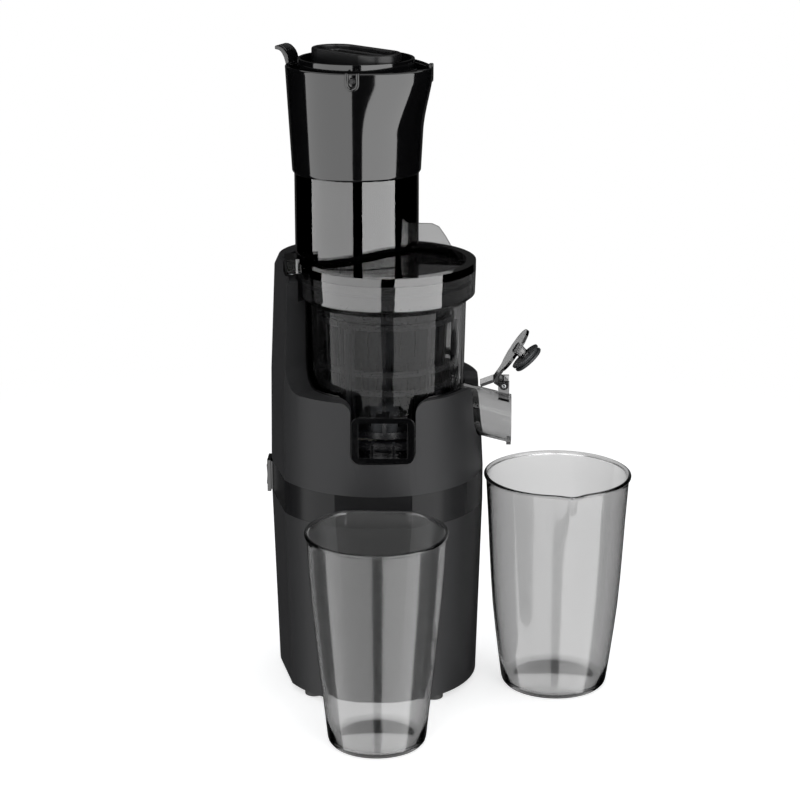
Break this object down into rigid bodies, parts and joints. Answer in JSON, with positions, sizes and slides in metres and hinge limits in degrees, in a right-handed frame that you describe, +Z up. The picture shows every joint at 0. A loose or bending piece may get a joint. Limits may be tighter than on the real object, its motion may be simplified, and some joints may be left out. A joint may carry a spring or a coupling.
{
  "type": "cold press juicer",
  "caption": "Slow juicer with a clear bowl, auger, rotating brush, lid with wide feed chute and pusher, capped spout, juice jug and pulp container.",
  "frame": {"origin": "on the floor under the bowl axis", "axes": "+Z up along the bowl axis, +X towards the juice spout, -Y towards the pulp outlet"},
  "size_m": [0.2732, 0.2584, 0.474],
  "materials": {
    "shell_plastic": "satin, warm grey moulded shell",
    "gloss_black": "polished black",
    "black_plastic": "fine matt",
    "clear_plastic": "clear copolyester",
    "smoke_plastic": "smoke tinted clear copolyester",
    "black_rubber": "soft, matt",
    "silicone": "translucent silicone",
    "dark_silicone": "moulded silicone",
    "zinc_steel": "zinc plated",
    "stainless": "stainless steel",
    "laminated_steel": "stacked laminations",
    "cast_aluminium": "die cast",
    "white_acetal": "natural acetal",
    "dark_engineering": "glass filled polyetherimide",
    "board_green": "solder mask",
    "capacitor_blue": "sleeved can and relay block"
  },
  "bodies": {
    "base": {"lower_housing": "shell_plastic", "gloss_band": "gloss_black", "upper_housing": "shell_plastic", "bowl_liner": "gloss_black", "base_plate": "black_plastic", "rubber_feet": "black_rubber", "foot_screws": "zinc_steel", "cord_inlet": "black_rubber", "power_switch_bezel": "black_plastic", "motor_stator": "laminated_steel", "motor_end_frames": "cast_aluminium", "motor_cushions": "black_rubber", "gearbox_case": "cast_aluminium", "gearbox_cover": "cast_aluminium", "gearbox_screws": "zinc_steel", "shaft_bearings": "stainless", "shaft_seal": "black_rubber", "control_board": "board_green", "board_capacitor": "capacitor_blue", "interlock_switch": "black_plastic"},
    "switch_rocker": {"power_switch_rocker": "black_plastic"},
    "motor_spin": {"motor_rotor": "laminated_steel", "motor_shaft": "stainless", "motor_pinion": "stainless", "cooling_fan": "black_plastic"},
    "counter_set": {"counter_gear": "white_acetal", "counter_pinion": "stainless", "counter_shaft": "stainless"},
    "drive_set": {"output_gear": "white_acetal", "drive_shaft": "stainless"},
    "bowl_set": {"juicing_bowl": "smoke_plastic", "bowl_hub_seal": "silicone", "pulp_outlet_frame": "gloss_black", "pulp_plug": "dark_silicone", "spout_hinge_bracket": "black_plastic", "spout_hinge_pin": "stainless", "strainer_frame": "dark_engineering", "strainer_mesh": "stainless"},
    "auger_set": {"auger_body": "dark_engineering", "auger_pinion": "white_acetal", "auger_hex_socket": "stainless", "auger_top_pin": "stainless"},
    "idler_a": {"idler_gear_a": "white_acetal"},
    "idler_b": {"idler_gear_b": "white_acetal"},
    "brush_set": {"brush_frame": "black_plastic", "silicone_wipers": "silicone"},
    "spout_cap": {"spout_flap": "clear_plastic", "spout_plug": "dark_silicone"},
    "lid_set": {"bowl_lid": "smoke_plastic", "lid_gasket": "silicone", "lid_bearing": "white_acetal", "lid_magnet": "zinc_steel", "feed_chute": "smoke_plastic", "hopper": "smoke_plastic"},
    "gate": {"feed_gate": "black_plastic"},
    "pusher": {"pusher_cup": "gloss_black", "pusher_handle": "gloss_black"},
    "jug": {"juice_jug": "clear_plastic"},
    "container": {"pulp_container": "clear_plastic"}
  },
  "joints": [
    {"name": "switch_tilt", "type": "hinge", "parent": "base", "child": "switch_rocker", "pos_m": [-0.0855, 0.024, 0.1525], "axis": [0, 1, 0], "range_deg": [-11, 11]},
    {"name": "motor_turn", "type": "hinge", "parent": "base", "child": "motor_spin", "pos_m": [-0.01697, 0.01697, 0.06], "axis": [0, 0, 1], "continuous": true},
    {"name": "counter_turn", "type": "hinge", "parent": "base", "child": "counter_set", "pos_m": [0.00524, 0.03713, 0.12], "axis": [0, 0, 1], "continuous": true},
    {"name": "drive_turn", "type": "hinge", "parent": "base", "child": "drive_set", "pos_m": [0, 0, 0.15], "axis": [0, 0, 1], "continuous": true},
    {"name": "bowl_lift", "type": "slide", "parent": "base", "child": "bowl_set", "axis": [0, 0, 1], "range_m": [0, 0.14]},
    {"name": "auger_turn", "type": "hinge", "parent": "bowl_set", "child": "auger_set", "pos_m": [0, 0, 0.24], "axis": [0, 0, 1], "continuous": true},
    {"name": "idler_a_turn", "type": "hinge", "parent": "bowl_set", "child": "idler_a", "pos_m": [0.01909, 0.01909, 0.195], "axis": [0, 0, 1], "continuous": true},
    {"name": "idler_b_turn", "type": "hinge", "parent": "bowl_set", "child": "idler_b", "pos_m": [-0.01909, -0.01909, 0.195], "axis": [0, 0, 1], "continuous": true},
    {"name": "brush_turn", "type": "hinge", "parent": "bowl_set", "child": "brush_set", "pos_m": [0, 0, 0.195], "axis": [0, 0, 1], "continuous": true},
    {"name": "spout_cap_hinge", "type": "hinge", "parent": "bowl_set", "child": "spout_cap", "pos_m": [0.0862, 0, 0.232], "axis": [0, 1, 0], "range_deg": [0, 147]},
    {"name": "lid_turn", "type": "hinge", "parent": "bowl_set", "child": "lid_set", "pos_m": [0, 0, 0.3187], "axis": [0, 0, 1], "range_deg": [0, 20]},
    {"name": "gate_tilt", "type": "hinge", "parent": "lid_set", "child": "gate", "pos_m": [0.00392, -0.00452, 0.4575], "axis": [-0.7071, -0.7071, 0], "range_deg": [0, 5.5]},
    {"name": "pusher_slide", "type": "slide", "parent": "lid_set", "child": "pusher", "axis": [0, 0, 1], "range_m": [0, 0.16]},
    {"name": "jug_slide", "type": "slide", "parent": "base", "child": "jug", "axis": [1, 0, 0], "range_m": [0, 0.12]},
    {"name": "container_slide", "type": "slide", "parent": "base", "child": "container", "axis": [0, -1, 0], "range_m": [0, 0.12]}
  ],
  "couplings": [
    {"joint": "counter_turn", "follows": "motor_turn", "ratio": -0.25},
    {"joint": "drive_turn", "follows": "motor_turn", "ratio": 0.0625},
    {"joint": "auger_turn", "follows": "motor_turn", "ratio": 0.0625},
    {"joint": "idler_a_turn", "follows": "motor_turn", "ratio": -0.090909},
    {"joint": "idler_b_turn", "follows": "motor_turn", "ratio": -0.090909},
    {"joint": "brush_turn", "follows": "motor_turn", "ratio": -0.026316}
  ]
}
